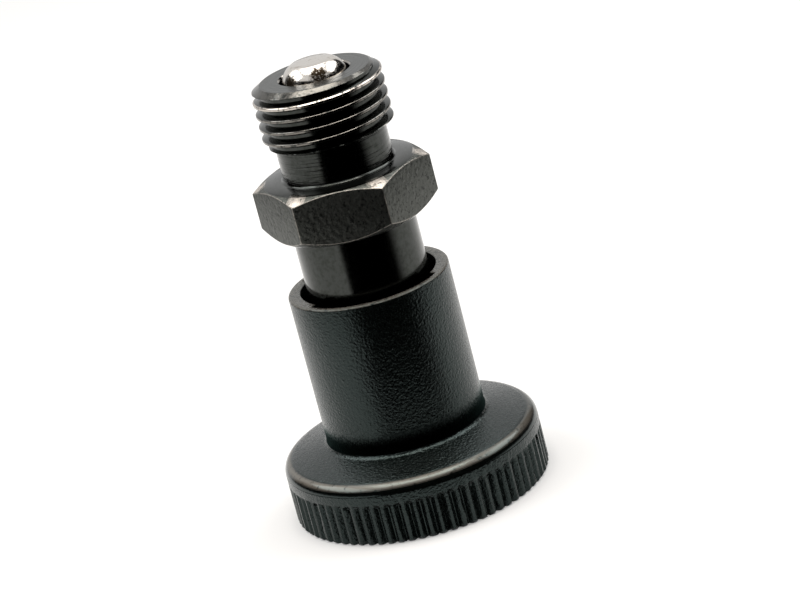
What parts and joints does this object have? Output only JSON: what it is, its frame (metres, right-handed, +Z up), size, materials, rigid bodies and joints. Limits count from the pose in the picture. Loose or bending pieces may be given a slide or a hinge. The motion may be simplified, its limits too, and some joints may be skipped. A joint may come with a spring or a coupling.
{
  "type": "indexing plunger",
  "caption": "Short indexing plunger: pressing the knurled sleeve knob drives a spring-returned steel pin out of a threaded guide with a hexagon collar.",
  "frame": {"origin": "centre of the knob's outer face, on which the plunger stands", "axes": "+Z up the plunger's axis from the knob to the tip of the pin; +X through a corner of the hexagon"},
  "size_m": [0.032, 0.032, 0.0563],
  "materials": {
    "black_oxide_steel": "black oxide, semi-gloss",
    "bright_pin_steel": "bright ground steel",
    "spring_steel": "drawn spring wire",
    "plain_steel": "turned",
    "black_plastic": "fine moulded grain, satin",
    "insert_brass": "turned"
  },
  "bodies": {
    "guide": {"guide_body": "black_oxide_steel", "rear_bush": "plain_steel", "snap_ring": "spring_steel"},
    "spring": {"return_spring": "spring_steel"},
    "plunger": {"indexing_pin": "bright_pin_steel", "knob": "black_plastic", "knob_insert": "insert_brass"}
  },
  "joints": [
    {"name": "knob_turn", "type": "hinge", "parent": "guide", "child": "spring", "pos_m": [0, 0, 0.03], "axis": [0, 0, 1], "continuous": true},
    {"name": "pin_travel", "type": "slide", "parent": "spring", "child": "plunger", "axis": [0, 0, 1], "range_m": [0, 0.0075], "stiffness_N_per_m": 2800, "springref_m": -0.005, "deforming": ["return_spring"]}
  ]
}
